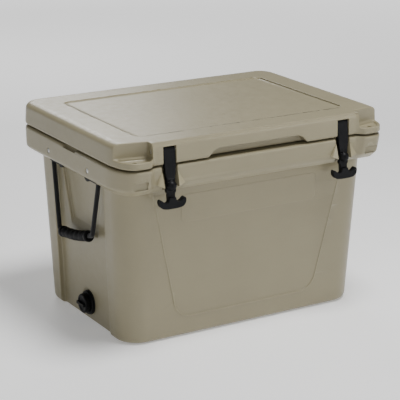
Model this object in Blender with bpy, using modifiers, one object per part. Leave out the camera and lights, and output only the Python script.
"""Rotomoulded cooler chest: insulated tub and hinged lid, rubber T-latches, rope handles, screw drain.

Frame: metres, +Z up, origin on the ground under the middle. X runs along the chest, and -Y is the front.
"""

import math

import bmesh
import bpy
from mathutils import Matrix, Vector

# ---- driving dimensions (metres) -------------------------------------------------------------
GAP = 0.0003  # clearance between pieces that touch

HALF_X, HALF_Y = 0.330, 0.236  # half sizes of the rim and lid
LID_TOP = 0.450
LID_BOTTOM, RIM_TOP = 0.4015, 0.3985
RIM_EDGE, RIM_UNDER, WALL_TOP = 0.355, 0.343, 0.341  # rim face's lower edge, cove, top of the wall
BODY_X, BODY_Y, DRAFT = 0.294, 0.190, 0.041  # half sizes at the ground, growth per metre of height
BASE_Z = 0.0015  # underside of the shell, on its feet
BACK_R = (0.042, 0.042)  # corner semi-axes (x, y) of the rim's back corners
FRONT_R = (0.038, 0.075)  # and of its long front corners
BODY_R = (0.052, 0.052)
EAR = 0.014  # how far the lockable front corners stand forward
EAR_RAMP = (0.248, 0.268)  # x where an ear starts and where it is full

INNER_X, INNER_Y, INNER_DRAFT = 0.2406, 0.1506, 0.029
FLOOR_Z = 0.048
SIDE_RECESS, SIDE_RECESS_Y = 0.012, 0.116  # middle of each end wall, set back between corner posts
HAND_POCKET = 0.008

LEDGE_Z = 0.417  # top of the ledge at each lid corner
LOCK_XY = (0.292, -0.2275)  # |x| and y of the padlock holes
LATCH_X = 0.215
LATCH_PIN = (-0.2285, 0.4315)  # y, z of the axis that a latch swings on
HINGE_AXIS = (0.2405, 0.400)  # y, z of the lid's axis
HINGE_R, HINGE_CLEAR = 0.0095, 0.011
KNUCKLE_LID = (0.155, 0.195)  # x range of the lid's knuckle; the rim's are either side
KNUCKLE_W, KNUCKLE_GAP = 0.0215, 0.0005
WEB_INSET = 0.001  # a knuckle's web is this much narrower at each end

HANDLE_X, HANDLE_Z, HANDLE_Y = 0.310, 0.340, 0.105  # where each end of a rope swings
ROPE_R = 0.005
GRIP_Z, GRIP_X, GRIP_CORNER_Y = 0.206, 0.312, 0.0905
GRIP_R, GRIP_HALF, COLLAR_R, COLLAR_W = 0.011, 0.0620, 0.0125, 0.0125
ROPE_BEND = 0.013
LEFT_TILT = 0.012  # the left grip hangs this much lower at its back end, and higher in front
SCREW_YZ = (0.091, 0.368)  # |y| and z of the screws that hold the anchors

DRAIN_Z = 0.040
DRAIN_SEAT_X = -0.2815
DRAIN_BORE, DRAIN_NECK = 0.0100, 0.0105  # the fitting's bore radius, and its threaded neck's reach
CAP_HOLLOW, CAP_DEPTH, CAP_TAB = 0.0083, 0.0112, 0.0168  # depths in the cap from its open end

TAN = (0.305, 0.275, 0.190)
BLACK = (0.012, 0.012, 0.013)
STEEL = (0.55, 0.55, 0.54)
FOAM = (0.75, 0.68, 0.45)


# ---- helpers ---------------------------------------------------------------------------------
for old in list(bpy.data.objects):
    bpy.data.objects.remove(old, do_unlink=True)

PARTS = bpy.data.collections.new("cooler_chest")
CUTTERS = bpy.data.collections.new("cutters")
bpy.context.scene.collection.children.link(PARTS)
bpy.context.scene.collection.children.link(CUTTERS)


def material(name, colour, roughness, metallic=0.0):
    mat = bpy.data.materials.new(name)
    mat.use_nodes = True
    shader = mat.node_tree.nodes["Principled BSDF"]
    shader.inputs["Base Color"].default_value = (*colour, 1.0)
    shader.inputs["Roughness"].default_value = roughness
    shader.inputs["Metallic"].default_value = metallic
    return mat


FINISH = {
    "shell": (TAN, 0.5, 0.0),
    "foam": (FOAM, 0.9, 0.0),
    "rubber": (BLACK, 0.6, 0.0),
    "plastic": (BLACK, 0.45, 0.0),
    "rope": (BLACK, 0.8, 0.0),
    "steel": (STEEL, 0.3, 1.0),
}


def add_object(name, mesh, group):
    obj = bpy.data.objects.new(name, mesh)
    group.objects.link(obj)
    if group is CUTTERS:
        obj.hide_render = True
        obj.display_type = "WIRE"
    return obj


def finish(obj, kind):
    """Makes a cutter-side object one of the chest's own parts, with its own material."""
    if obj.name in CUTTERS.objects:
        CUTTERS.objects.unlink(obj)
        PARTS.objects.link(obj)
        obj.hide_render = False
        obj.display_type = "TEXTURED"
    obj.data.materials.clear()
    obj.data.materials.append(material(obj.name + "_finish", *FINISH[kind]))
    return obj


def from_bmesh(name, bm):
    bmesh.ops.recalc_face_normals(bm, faces=bm.faces)
    if bm.calc_volume(signed=True) < 0:
        bmesh.ops.reverse_faces(bm, faces=bm.faces)
    mesh = bpy.data.meshes.new(name)
    bm.to_mesh(mesh)
    bm.free()
    return add_object(name, mesh, CUTTERS)


def box(name, low, high):
    """An upright box between two corners, each corner's values in any order."""
    bm = bmesh.new()
    bmesh.ops.create_cube(bm, size=1.0)
    size = [abs(b - a) for a, b in zip(low, high)]
    middle = [(a + b) / 2 for a, b in zip(low, high)]
    bmesh.ops.transform(bm, matrix=Matrix.Translation(middle) @ Matrix.Diagonal((*size, 1)), verts=bm.verts)
    return from_bmesh(name, bm)


def aim(start, end):
    """The matrix that carries a unit of local Z onto the line from start to end, about its middle."""
    start, end = Vector(start), Vector(end)
    turn = (end - start).to_track_quat("Z", "Y").to_matrix().to_4x4()
    return Matrix.Translation((start + end) / 2) @ turn


def cylinder(name, start, end, radius, sides=20):
    bm = bmesh.new()
    length = (Vector(end) - Vector(start)).length
    bmesh.ops.create_cone(bm, cap_ends=True, segments=sides, radius1=radius, radius2=radius, depth=length)
    bmesh.ops.transform(bm, matrix=aim(start, end), verts=bm.verts)
    return from_bmesh(name, bm)


def sphere(name, centre, radius, sides=14, rows=9):
    bm = bmesh.new()
    bmesh.ops.create_uvsphere(bm, u_segments=sides, v_segments=rows, radius=radius)
    bmesh.ops.translate(bm, vec=centre, verts=bm.verts)
    return from_bmesh(name, bm)


def prism(name, outline, normal, start, end):
    """A flat outline pushed along axis "X", "Y" or "Z" from start to end; the outline holds the other two."""
    spread = {"X": lambda p, t: (t, p[0], p[1]), "Y": lambda p, t: (p[0], t, p[1]), "Z": lambda p, t: (*p, t)}
    return loft(name, [[spread[normal](p, t) for p in outline] for t in (start, end)])


def loft(name, rings):
    """A closed body through rings of the same number of points, capped at both ends."""
    bm = bmesh.new()
    loops = [[bm.verts.new(p) for p in ring] for ring in rings]
    count = len(rings[0])
    for lower, upper in zip(loops, loops[1:]):
        for i in range(count):
            j = (i + 1) % count
            bm.faces.new((lower[i], lower[j], upper[j], upper[i]))
    caps = [bm.faces.new(loops[0][::-1]), bm.faces.new(loops[-1])]
    bmesh.ops.connect_verts_nonplanar(bm, angle_limit=0.0005, faces=bm.faces)
    bmesh.ops.triangulate(bm, faces=[cap for cap in caps if cap.is_valid])
    return from_bmesh(name, bm)


def turned(name, profile, start, axis, sides=32):
    """A (radius, along) profile, down its outer side, turned about the line from start by a Screw modifier.

    It closes on itself, or on the axis where it starts and ends there."""
    mesh = bpy.data.meshes.new(name)
    edges = [(i, i + 1) for i in range(len(profile) - 1)]
    if profile[0][0] > 0:
        edges.append((len(profile) - 1, 0))
    mesh.from_pydata([(radius, 0, along) for radius, along in profile], edges, [])
    obj = add_object(name, mesh, CUTTERS)
    screw = obj.modifiers.new("turn", "SCREW")
    screw.steps = screw.render_steps = sides
    screw.use_merge_vertices = True
    screw.merge_threshold = 0.00005
    start, axis = Vector(start), Vector(axis)
    obj.matrix_world = Matrix.Translation(start) @ axis.to_track_quat("Z", "Y").to_matrix().to_4x4()
    return obj


def boolean(obj, tool, operation):
    step = obj.modifiers.new(tool.name, "BOOLEAN")
    step.operation = operation
    step.solver = "EXACT"
    step.object = tool
    return obj


def cut(obj, *tools):
    for tool in tools:
        boolean(obj, tool, "DIFFERENCE")
    return obj


def join(obj, *tools):
    for tool in tools:
        boolean(obj, tool, "UNION")
    return obj


def apply_all(obj):
    """Makes an object's modifiers part of its mesh."""
    bpy.context.view_layer.update()
    mesh = bpy.data.meshes.new_from_object(obj.evaluated_get(bpy.context.evaluated_depsgraph_get()))
    obj.modifiers.clear()
    obj.data = mesh
    return obj


def pivot_at(obj, point):
    """Moves an object's origin to its joint's axis and leaves its shape where it is."""
    point = Vector(point)
    obj.data.transform(Matrix.Translation(-point) @ obj.matrix_world)
    obj.matrix_world = Matrix.Translation(point)
    return obj


def side_name(side):
    return "left" if side < 0 else "right"


def end_name(end):
    return "front" if end < 0 else "back"


# ---- plan outlines and shells ----------------------------------------------------------------
def arc(centre, radii, start, stop, steps):
    """Points of an elliptical arc, angles in degrees."""
    for i in range(steps + 1):
        angle = math.radians(start + (stop - start) * i / steps)
        yield centre[0] + radii[0] * math.cos(angle), centre[1] + radii[1] * math.sin(angle)


def plan(half_x, half_y, z, back=BODY_R, front=BODY_R, ear=None, steps=6, shift_y=0.0):
    """A ring at height z: a rounded rectangle. With ear, its front corners stand forward by that much."""
    half = []
    if ear is not None:
        ramp_end = min(EAR_RAMP[1], half_x - front[0] - 0.002)
        ramp_start = ramp_end - (EAR_RAMP[1] - EAR_RAMP[0])
        for i in range(5):
            t = i / 4
            x = ramp_start + (ramp_end - ramp_start) * t
            half.append((x, -half_y - ear * (0.5 - 0.5 * math.cos(math.pi * t))))
    half += arc((half_x - front[0], -half_y - (ear or 0.0) + front[1]), front, -90, 0, steps + 1)
    half += arc((half_x - back[0], half_y - back[1]), back, 0, 90, steps)
    mirrored = [(-x, y) for x, y in reversed(half)]
    return [(x, y + shift_y, z) for x, y in half + mirrored]


def rim_ring(z, inset, ear):
    back = tuple(r - inset for r in BACK_R)
    front = tuple(r - inset for r in FRONT_R)
    return plan(HALF_X - inset, HALF_Y - inset, z, back, front, ear)


def fillet(z, inset, radius, start, stop, steps):
    """(z, inset) pairs round a quarter edge; angles are from the wall's outward normal."""
    for i in range(steps + 1):
        angle = math.radians(start + (stop - start) * i / steps)
        yield z + radius * math.sin(angle), inset + radius * (1 - math.cos(angle))


def tub_outside():
    rings = []
    for z, inset in reversed(list(fillet(BASE_Z + 0.012, 0.0, 0.012, 0, -90, 3))):
        r = tuple(v - inset * 0.8 for v in BODY_R)
        rings.append(plan(BODY_X - inset, BODY_Y - inset, z, r, r, 0.0006))
    rings.append(plan(BODY_X + DRAFT * WALL_TOP, BODY_Y + DRAFT * WALL_TOP, WALL_TOP, BODY_R, BODY_R, 0.0006))
    rings.append(rim_ring(RIM_UNDER, 0.0125, 0.002))
    rings.append(rim_ring(RIM_EDGE, 0.0012, 0.007))
    rings.append(rim_ring(RIM_TOP - 0.0035, 0.0, EAR))
    rings.append(rim_ring(RIM_TOP, 0.0030, EAR))
    return loft("tub_shell", rings)


def tub_inside(name, grow, floor, top):
    """The hollow of the tub, grown by a skin's thickness where it bounds the foam."""
    rings = []
    for z, inset in reversed(list(fillet(floor + 0.018, 0.0, 0.018, 0, -90, 3))):
        r = (0.040 + grow - inset * 0.8,) * 2
        rings.append(plan(INNER_X + grow - inset, INNER_Y + grow - inset, z, r, r, steps=5))
    rise = INNER_DRAFT * (top - FLOOR_Z)
    r = (0.040 + grow,) * 2
    rings.append(plan(INNER_X + grow + rise, INNER_Y + grow + rise, top, r, r, steps=5))
    return loft(name, rings)


def tub_foam_form(name, inset):
    """The space that foam fills between the tub's skins, clear of the drain."""
    low, high = 0.012 + inset, 0.386 - inset
    r = (0.046 - inset,) * 2
    form = loft(name, [
        plan(0.2755 - inset, 0.184 - inset, low, r, r, steps=4),
        plan(0.2810 - inset, 0.197 - inset, high, r, r, steps=4),
    ])
    return cut(
        form,
        tub_inside(name + "_hollow", 0.006 + inset, FLOOR_Z - 0.006 - inset, 0.400),
        cylinder(name + "_drain", (-0.30, 0, DRAIN_Z), (-0.20, 0, DRAIN_Z), 0.019 + inset, 16),
        box(name + "_sump", (-0.26, -0.028 - inset, 0.0165 - inset), (-0.188 + inset, 0.028 + inset, 0.066)),
    )


def lid_outside():
    rings = [rim_ring(LID_BOTTOM, 0.0030, EAR), rim_ring(LID_BOTTOM + 0.0035, 0.0, EAR)]
    for z, inset in fillet(LID_TOP - 0.012, 0.0015, 0.012, 0, 90, 4):
        rings.append(rim_ring(z, inset, EAR))
    return loft("lid_shell", rings)


# ---- tub -------------------------------------------------------------------------------------
def knuckles(side):
    """x ranges of one hinge: the lid's knuckle, then the rim's two."""
    inner, outer = KNUCKLE_LID
    lower = (inner - KNUCKLE_GAP - KNUCKLE_W, inner - KNUCKLE_GAP)
    upper = (outer + KNUCKLE_GAP, outer + KNUCKLE_GAP + KNUCKLE_W)
    return [tuple(side * x for x in pair) for pair in ((inner, outer), lower, upper)]


def hinge_cylinder(name, span, radius, sides=20):
    return cylinder(name, (span[0], *HINGE_AXIS), (span[1], *HINGE_AXIS), radius, sides)


def tub_shell():
    shell = tub_outside()
    for side in (-1, 1):
        tag = side_name(side)
        (lid_span, low_span, high_span) = knuckles(side)
        for end, span in (("a", low_span), ("b", high_span)):
            web = box(
                f"rim_web_{tag}_{end}",
                (span[0] + side * WEB_INSET, 0.222, HINGE_AXIS[1] - HINGE_R + 0.0002),
                (span[1] - side * WEB_INSET, HINGE_AXIS[0], HINGE_AXIS[1] - 0.0022),
            )
            join(shell, hinge_cylinder(f"rim_knuckle_{tag}_{end}", span, HINGE_R), web)
        cut(shell, hinge_cylinder(f"rim_relief_{tag}", (side * 0.1545, side * 0.1955), HINGE_CLEAR))
        cut(shell, hinge_cylinder(f"rim_bore_{tag}", (side * 0.132, side * 0.218), 0.0043, 16))
        for end, (near, far) in (("clip", (0.1285, 0.1331)), ("head", (0.2169, 0.2220))):
            cut(shell, hinge_cylinder(f"rim_relief_{end}_{tag}", (side * near, side * far), 0.0080))
    cut(shell, tub_inside("tub_hollow", 0.0, FLOOR_Z, 0.420))
    for side in (-1, 1):
        end_recess(shell, side)
        latch_notch(shell, side)
        ear_cuts(shell, side)
        vent = box(f"rim_vent_{side_name(side)}", (side * 0.322, -0.028, 0.3935), (side * 0.34, 0.028, 0.41))
        cut(shell, vent)
    front_panel(shell, -1)
    front_panel(shell, 1)
    cut(shell, tub_foam_form("tub_foam_space", 0.0))
    cut(
        shell,
        cylinder("drain_seat", (-0.32, 0, DRAIN_Z), (DRAIN_SEAT_X, 0, DRAIN_Z), 0.031, 32),
        cylinder("drain_hole", (-0.30, 0, DRAIN_Z), (-0.22, 0, DRAIN_Z), 0.013, 24),
        box("drain_sump", (-0.2486, -0.022, 0.0225), (-0.194, 0.022, 0.057)),
        cylinder("tub_fill_hole", (0, 0, -0.01), (0, 0, 0.020), 0.012, 20),
    )
    for side in (-1, 1):
        for end in (-1, 1):
            label = f"{end_name(end)}_{side_name(side)}"
            cut(shell, rounded_pad(f"foot_pocket_{label}", side, end, 0.0, 0.0055, -0.002))
    return finish(shell, "shell")


def rounded_pad(name, side, end, inset, top, bottom):
    half = (0.036 - inset, 0.021 - inset)
    r = 0.009 - inset
    middle = (side * 0.222, end * 0.132)
    outline = []
    for sx, sy, start in ((1, 1, 0), (-1, 1, 90), (-1, -1, 180), (1, -1, 270)):
        centre = (middle[0] + sx * (half[0] - r), middle[1] + sy * (half[1] - r))
        outline += arc(centre, (r, r), start, start + 90, 3)
    return prism(name, outline, "Z", bottom, top)


def screw_point(side, end, x):
    """A point on the axis of the screw that holds a rope's anchor."""
    return side * x, end * SCREW_YZ[0], SCREW_YZ[1]


def end_recess(shell, side):
    """The end wall's middle, set back between corner posts, with a hand pocket and the anchors' bays."""
    tag = side_name(side)

    def slab(name, sections):
        rings = []
        for z, half_y, depth in sections:
            face = BODY_X + DRAFT * z - depth
            rings.append([(side * x, y, z) for x, y in
                          ((face, -half_y), (0.40, -half_y - 0.006), (0.40, half_y + 0.006), (face, half_y))])
        return loft(name, rings)

    deep = SIDE_RECESS + HAND_POCKET
    recess = slab(f"end_recess_{tag}", [(z, SIDE_RECESS_Y, SIDE_RECESS) for z in (-0.02, 0.3425)])
    pocket = slab(
        f"hand_pocket_{tag}",
        [(0.212, 0.062, SIDE_RECESS - 0.001), (0.232, 0.066, deep), (0.3425, 0.096, deep)],
    )
    cut(shell, recess, pocket)
    for end in (-1, 1):
        label = f"{end_name(end)}_{tag}"
        bay_low, bay_high = (side * 0.2985, end * 0.0375, 0.3300), (side * 0.3215, end * 0.1140, 0.3775)
        bay = box(f"anchor_bay_{label}", bay_low, bay_high)
        dimple = cylinder(
            f"screw_dimple_{label}", screw_point(side, end, 0.3272), screw_point(side, end, 0.345), 0.0065, 14
        )
        hole = cylinder(
            f"screw_hole_{label}", screw_point(side, end, 0.315), screw_point(side, end, 0.335), 0.0028, 10
        )
        cut(shell, bay, dimple, hole)


def latch_notch(shell, side):
    """The flared notch in the rim that a latch's neck drops into."""
    middle = side * LATCH_X

    def section(y, top, bottom):
        return [(middle - bottom, y, 0.330), (middle + bottom, y, 0.330), (middle + top, y, 0.410),
                (middle - top, y, 0.410)]

    sections = [section(-0.2600, 0.0215, 0.0150), section(-0.2165, 0.0165, 0.0105)]
    cut(shell, loft(f"latch_notch_{side_name(side)}", sections))


def lock_hole(name, side, low, high):
    """The upright hole that a padlock's shackle goes through, between two heights."""
    x, y = side * LOCK_XY[0], LOCK_XY[1]
    return cylinder(name, (x, y, low), (x, y, high), 0.0055, 16)


def ear_cuts(shell, side):
    """The tie-down slot under an ear, and the padlock hole that comes down into it."""
    tag = side_name(side)
    slot = box(f"tie_slot_{tag}", (side * 0.270, -0.270, 0.335), (side * 0.308, -0.2140, 0.374))
    cut(shell, slot, lock_hole(f"rim_lock_hole_{tag}", side, 0.365, 0.41))


def front_panel(shell, face):
    """A shallow panel, narrower at the bottom, in the front and back walls."""
    depth = 0.0016

    def outline(z_low, z_high):
        half_low, slope, r = 0.182, 0.229, 0.042
        low = [(half_low + slope * (z - 0.092), z) for z in (z_low + r, z_high)]
        points = list(arc((low[0][0] - r, low[0][1]), (r, r), -90, -6, 4)) + [low[1]]
        return points + [(-x, z) for x, z in reversed(points)]

    shape = outline(0.047, 0.338)
    rings = []
    for offset in (-depth, 0.05):
        rings.append([(x, face * (BODY_Y + DRAFT * z + offset), z) for x, z in shape])
    cut(shell, loft(f"panel_{'front' if face < 0 else 'back'}", rings))


def tub_parts():
    tub_shell()
    core = tub_foam_form("tub_foam_core", 0.0004)
    finish(core, "foam")
    plug = cylinder("tub_fill_plug", (0, 0, BASE_Z), (0, 0, 0.0110), 0.0117, 20)
    finish(plug, "plastic")
    for side in (-1, 1):
        for end in (-1, 1):
            foot = rounded_pad(f"foot_{end_name(end)}_{side_name(side)}", side, end, GAP, 0.0052, 0.0)
            finish(foot, "rubber")


# ---- lid -------------------------------------------------------------------------------------
def ring_band(name, half_x, half_y, width, low, high, steps=4):
    """A rounded rectangular ring with a flat section, as a loft inside a loft."""
    def form(label, grow, z_low, z_high):
        r = (0.045 + grow,) * 2
        rings = [plan(half_x + grow, half_y + grow, z, r, r, steps=steps) for z in (z_low, z_high)]
        return loft(label, rings)

    return cut(form(name, width / 2, low, high), form(name + "_middle", -width / 2, low - 0.01, high + 0.01))


def lid_shell():
    shell = lid_outside()
    r = (0.038, 0.038)
    plug = [plan(0.2400, 0.1500, 0.3915, r, r, steps=5), plan(0.2430, 0.1530, 0.405, r, r, steps=5)]
    join(shell, loft("lid_plug", plug))
    for side in (-1, 1):
        tag = side_name(side)
        (lid_span, low_span, high_span) = knuckles(side)
        web = box(
            f"lid_web_{tag}",
            (lid_span[0] + side * WEB_INSET, 0.222, HINGE_AXIS[1] + 0.0022),
            (lid_span[1] - side * WEB_INSET, HINGE_AXIS[0], HINGE_AXIS[1] + HINGE_R - 0.0002),
        )
        join(shell, hinge_cylinder(f"lid_knuckle_{tag}", lid_span, HINGE_R), web)
        for end, (near, far) in (("a", (0.1285, 0.155)), ("b", (0.195, 0.2220))):
            cut(shell, hinge_cylinder(f"lid_relief_{tag}_{end}", (side * near, side * far), HINGE_CLEAR))
        cut(shell, hinge_cylinder(f"lid_bore_{tag}", (side * 0.150, side * 0.200), 0.0043, 16))
        corner_ledge(shell, side)
        latch_slot(shell, side)
    finger_recess(shell)
    cut(shell, ring_band("gasket_groove", 0.2720, 0.1830, 0.0092, 0.3950, 0.4066))
    top_r = (0.014, 0.014)
    cut(shell, loft("lid_top_panel", [plan(0.257, 0.171, z, top_r, top_r, steps=3, shift_y=-0.005)
                                      for z in (LID_TOP - 0.0010, LID_TOP + 0.02)]))
    cut(shell, lid_foam_form("lid_foam_space", 0.0))
    cut(shell, cylinder("lid_fill_hole", (0, 0, 0.38), (0, 0, 0.420), 0.010, 20))
    return finish(shell, "shell")


def lid_foam_form(name, inset):
    r = (0.035 - inset,) * 2
    return loft(name, [plan(0.300 - inset, 0.196 - inset, z, r, r, steps=4, shift_y=0.010)
                       for z in (0.4115 + inset, 0.4440 - inset)])


def corner_ledge(shell, side):
    """The corner cut down to a ledge, with its padlock hole."""
    tag = side_name(side)
    outline = [(side * x, y) for x, y in ((0.256, -0.30), (0.256, -0.214), (0.345, -0.197), (0.345, -0.30))]
    cut(shell, prism(f"corner_cut_{tag}", outline, "Z", LEDGE_Z, 0.47))
    cut(shell, lock_hole(f"lid_lock_hole_{tag}", side, 0.39, 0.43))


def latch_slot(shell, side):
    """The slot that a latch hangs in, and the bore for its pin, open at the corner ledge."""
    tag, middle = side_name(side), side * LATCH_X
    cut(shell, box(f"latch_slot_{tag}", (middle - 0.0153, -0.26, 0.39), (middle + 0.0153, -0.2150, 0.4425)))
    for label, inner, radius in (("latch_bore", 0.188, 0.0033), ("latch_bore_mouth", 0.2535, 0.0050)):
        bore = cylinder(f"{label}_{tag}", (side * inner, *LATCH_PIN), (side * 0.270, *LATCH_PIN), radius, 12)
        cut(shell, bore)


def finger_recess(shell):
    """The lift recess along the lid's front edge."""
    half = [(0.124, 0.39), (0.121, 0.404), (0.094, 0.4195)]
    outline = half + [(-x, z) for x, z in reversed(half)]
    cut(shell, prism("finger_recess", outline, "Y", -0.26, -0.2170))


def lid_parts():
    lid_shell()
    finish(lid_foam_form("lid_foam_core", 0.0004), "foam")
    finish(cylinder("lid_fill_plug", (0, 0, 0.3917), (0, 0, 0.4105), 0.0097, 20), "plastic")
    finish(ring_band("lid_gasket", 0.2720, 0.1830, 0.0086, RIM_TOP + GAP, 0.4063), "rubber")
    for side in (-1, 1):
        tag = side_name(side)
        pin = [(0, 0), (0.0046, 0), (0.0046, 0.0020), (0.0030, 0.0020), (0.0030, 0.0640), (0, 0.0640)][::-1]
        finish(turned(f"latch_pin_{tag}", pin, (side * 0.2556, *LATCH_PIN), (-side, 0, 0), 14), "steel")


# ---- latches ---------------------------------------------------------------------------------
def latch_shape():
    """A T-shaped rubber latch about its pin: barrel, tapering strap, ball, stem and swept T handle."""
    half = [(0.0140, 0.0045), (0.0138, -0.0115), (0.0128, -0.0315), (0.0090, -0.0615), (0.0088, -0.0755),
            (0.0112, -0.0815), (0.0112, -0.0865), (0.0086, -0.0915), (0.0084, -0.1135)]
    strap = prism("latch_shape", [(-x, z) for x, z in half] + [(x, z) for x, z in reversed(half)],
                  "Y", -0.0065, 0.0025)
    wing = [(0.0, -0.1240), (0.0200, -0.1235), (0.0290, -0.1205), (0.0340, -0.1145), (0.0348, -0.1080),
            (0.0325, -0.1040), (0.0280, -0.1035), (0.0200, -0.1095), (0.0130, -0.1120), (0.0095, -0.1095),
            (0.0075, -0.1025)]
    handle = prism("latch_handle", wing + [(-x, z) for x, z in reversed(wing[1:])], "Y", -0.0120, 0.0000)
    barrel = cylinder("latch_barrel", (-0.0136, 0, 0), (0.0136, 0, 0), 0.0071, 18)
    ball = sphere("latch_ball", (0, -0.0058, -0.0728), 0.0105)
    join(strap, barrel, ball, handle)
    return apply_all(cut(strap, cylinder("latch_eye", (-0.02, 0, 0), (0.02, 0, 0), 0.0034, 12)))


def latches():
    shape = latch_shape()
    for side in (-1, 1):
        latch = add_object(f"latch_{side_name(side)}", shape.data.copy(), CUTTERS)
        latch.location = (side * LATCH_X, *LATCH_PIN)
        finish(latch, "rubber")


# ---- hinge pins ------------------------------------------------------------------------------
def hinge_pins():
    for side in (-1, 1):
        tag = side_name(side)
        head = side * 0.2194
        pin = [(0, 0), (0.0065, 0), (0.0065, 0.0020), (0.0040, 0.0020), (0.0040, 0.0890), (0, 0.0890)][::-1]
        finish(turned(f"hinge_pin_{tag}", pin, (head, *HINGE_AXIS), (-side, 0, 0), 16), "steel")
        clip = [(0.0043, 0), (0.0070, 0), (0.0070, 0.0014), (0.0043, 0.0014)][::-1]
        finish(turned(f"hinge_clip_{tag}", clip, (side * 0.1327, *HINGE_AXIS), (-side, 0, 0), 16), "steel")


# ---- rope handles ----------------------------------------------------------------------------
def handle_corners(side):
    """The rope's ends and its two corners, from the back end to the front."""
    tilt = LEFT_TILT if side < 0 else 0.0
    return [
        Vector((side * HANDLE_X, HANDLE_Y, HANDLE_Z + 0.004)),
        Vector((side * HANDLE_X, HANDLE_Y, HANDLE_Z)),
        Vector((side * GRIP_X, GRIP_CORNER_Y, GRIP_Z - tilt)),
        Vector((side * GRIP_X, -GRIP_CORNER_Y, GRIP_Z + tilt)),
        Vector((side * HANDLE_X, -HANDLE_Y, HANDLE_Z)),
        Vector((side * HANDLE_X, -HANDLE_Y, HANDLE_Z + 0.004)),
    ]


def rounded_path(corners, radius, steps):
    """A polyline whose inner corners are arcs."""
    path = [corners[0]]
    for before, corner, after in zip(corners, corners[1:], corners[2:]):
        into, out = (corner - before).normalized(), (after - corner).normalized()
        turn = into.angle(out)
        room = 0.45 * min((corner - before).length, (after - corner).length)
        bend = min(radius, room / max(math.tan(turn / 2), 1e-6))
        reach = bend * math.tan(turn / 2)
        count = max(1, round(steps * turn / (math.pi / 2)))
        start, normal = corner - into * reach, (out - into).normalized()
        centre = corner + normal * (bend / math.cos(turn / 2))
        axis = into.cross(out).normalized()
        for i in range(count + 1):
            path.append(centre + Matrix.Rotation(turn * i / count, 3, axis) @ (start - centre))
    return path + [corners[-1]]


def rope(side):
    name = f"handle_rope_{side_name(side)}"
    path = rounded_path(handle_corners(side), ROPE_BEND, 6)
    curve = bpy.data.curves.new(name, "CURVE")
    curve.dimensions = "3D"
    spline = curve.splines.new("POLY")
    spline.points.add(len(path) - 1)
    for point, place in zip(spline.points, path):
        point.co = (*place, 1.0)
    curve.bevel_depth = ROPE_R
    curve.bevel_resolution = 2
    curve.use_fill_caps = True
    guide = bpy.data.objects.new(name + "_guide", curve)
    CUTTERS.objects.link(guide)
    bpy.context.view_layer.update()
    mesh = bpy.data.meshes.new_from_object(guide.evaluated_get(bpy.context.evaluated_depsgraph_get()))
    bpy.data.objects.remove(guide)
    bm = bmesh.new()
    bm.from_mesh(mesh)
    bmesh.ops.remove_doubles(bm, verts=bm.verts, dist=0.00002)
    bmesh.ops.recalc_face_normals(bm, faces=bm.faces)
    bm.to_mesh(mesh)
    bm.free()
    mesh.name = name
    obj = add_object(name, mesh, CUTTERS)
    finish(obj, "rope")
    return pivot_at(obj, (side * HANDLE_X, 0, HANDLE_Z))


def handle(side):
    rope(side)
    tag = side_name(side)
    back, front = handle_corners(side)[2:4]
    middle, along = (back + front) / 2, (front - back).normalized()
    pivot = (side * HANDLE_X, 0, HANDLE_Z)
    bore = ROPE_R + GAP
    half = GRIP_HALF
    grip = [(bore, -half), (bore, half), (GRIP_R - 0.001, half), (GRIP_R, half - 0.003), (GRIP_R + 0.0006, 0),
            (GRIP_R, 0.003 - half), (GRIP_R - 0.001, -half)]
    finish(pivot_at(apply_all(turned(f"handle_grip_{tag}", grip, middle, along, 20)), pivot), "rubber")
    for end in (-1, 1):
        direction = along if end < 0 else -along
        edge = 0.002
        collar = [(bore, 0), (bore, COLLAR_W), (COLLAR_R - edge, COLLAR_W), (COLLAR_R, COLLAR_W - edge),
                  (COLLAR_R, 0)]
        start = middle + direction * (half + GAP)
        piece = apply_all(turned(f"handle_collar_{end_name(end)}_{tag}", collar, start, direction, 20))
        finish(pivot_at(piece, pivot), "plastic")


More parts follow.
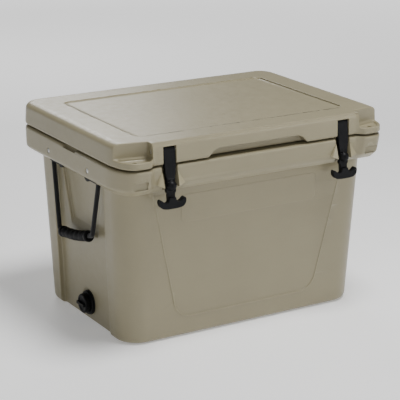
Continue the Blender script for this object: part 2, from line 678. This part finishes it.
def anchors(side):
    """The moulded anchors under the rim that hold a rope's ends, each with a round toe and a screw."""
    tag = side_name(side)
    for end in (-1, 1):
        label = f"{end_name(end)}_{tag}"
        toe = list(arc((0.0600, 0.3420), (0.0190, 0.0190), 160, 380, 10))
        flange = [(0.0790, 0.3510), (0.1130, 0.3510), (0.1130, 0.3765), (0.0420, 0.3765)]
        outline = [(end * y, z) for y, z in [(y, max(z, 0.3220)) for y, z in toe] + flange]
        anchor = prism(f"handle_anchor_{label}", outline, "X", side * 0.3000, side * 0.3200)
        place = (side * HANDLE_X, end * HANDLE_Y)
        join(anchor, cylinder(f"ferrule_{label}", (*place, 0.3472), (*place, 0.3600), 0.0068, 16))
        hole = cylinder(
            f"anchor_hole_{label}", screw_point(side, end, 0.303), screw_point(side, end, 0.325), 0.0027, 10
        )
        finish(cut(anchor, hole), "plastic")
        head = [(0, 0), (0.0030, 0), (0.0052, 0.0010), (0.0052, 0.0022)]
        profile = (head + [(0.0024, 0.0022), (0.0024, 0.0240), (0, 0.0240)])[::-1]
        screw = turned(f"handle_screw_{label}", profile, screw_point(side, end, 0.3297), (-side, 0, 0), 12)
        finish(screw, "steel")


# ---- drain -----------------------------------------------------------------------------------
def drain():
    def at(x):
        return x, 0.0, DRAIN_Z

    out = (-1, 0, 0)
    seat = DRAIN_SEAT_X
    gasket = [(0.0133, 0), (0.0275, 0), (0.0275, 0.0020), (0.0133, 0.0020)][::-1]
    finish(turned("drain_gasket", gasket, at(seat - GAP), out, 32), "rubber")
    flange = seat - GAP - 0.0020 - GAP
    inward = flange + 0.2435
    body = [(DRAIN_BORE, inward), (0.0126, inward), (0.0126, 0), (0.0290, 0), (0.0290, 0.0035),
            (0.0275, 0.0050), (0.0172, 0.0050), (0.0172, DRAIN_NECK), (DRAIN_BORE, DRAIN_NECK)][::-1]
    finish(turned("drain_fitting", body, at(flange), out, 32), "plastic")
    nut = [(0.0130, 0), (0.0160, 0), (0.0160, 0.0048), (0.0130, 0.0048)][::-1]
    finish(turned("drain_nut", nut, at(-0.2483), (1, 0, 0), 24), "plastic")
    start = flange - 0.0050 - 0.0006
    cap = [(0.0, CAP_HOLLOW), (0.0176, CAP_HOLLOW), (0.0176, 0), (0.0215, 0), (0.0215, CAP_DEPTH - 0.0015),
           (0.0200, CAP_DEPTH), (0.0, CAP_DEPTH)][::-1]
    piece = apply_all(turned("drain_cap", cap, at(start), out, 32))
    tab_low = (start - CAP_TAB, -0.0165, DRAIN_Z - 0.0035)
    tab_high = (start - CAP_DEPTH + 0.0010, 0.0165, DRAIN_Z + 0.0035)
    join(piece, box("drain_cap_tab", tab_low, tab_high))
    finish(pivot_at(piece, at(start)), "plastic")
    washer = [(DRAIN_BORE, 0), (0.0168, 0), (0.0168, 0.0020), (DRAIN_BORE, 0.0020)][::-1]
    ring = apply_all(turned("drain_cap_washer", washer, at(flange - DRAIN_NECK - GAP), out, 24))
    finish(pivot_at(ring, at(start)), "rubber")


# ---- assembly --------------------------------------------------------------------------------
tub_parts()
lid_parts()
hinge_pins()
drain()
latches()
for which in (-1, 1):
    handle(which)
    anchors(which)
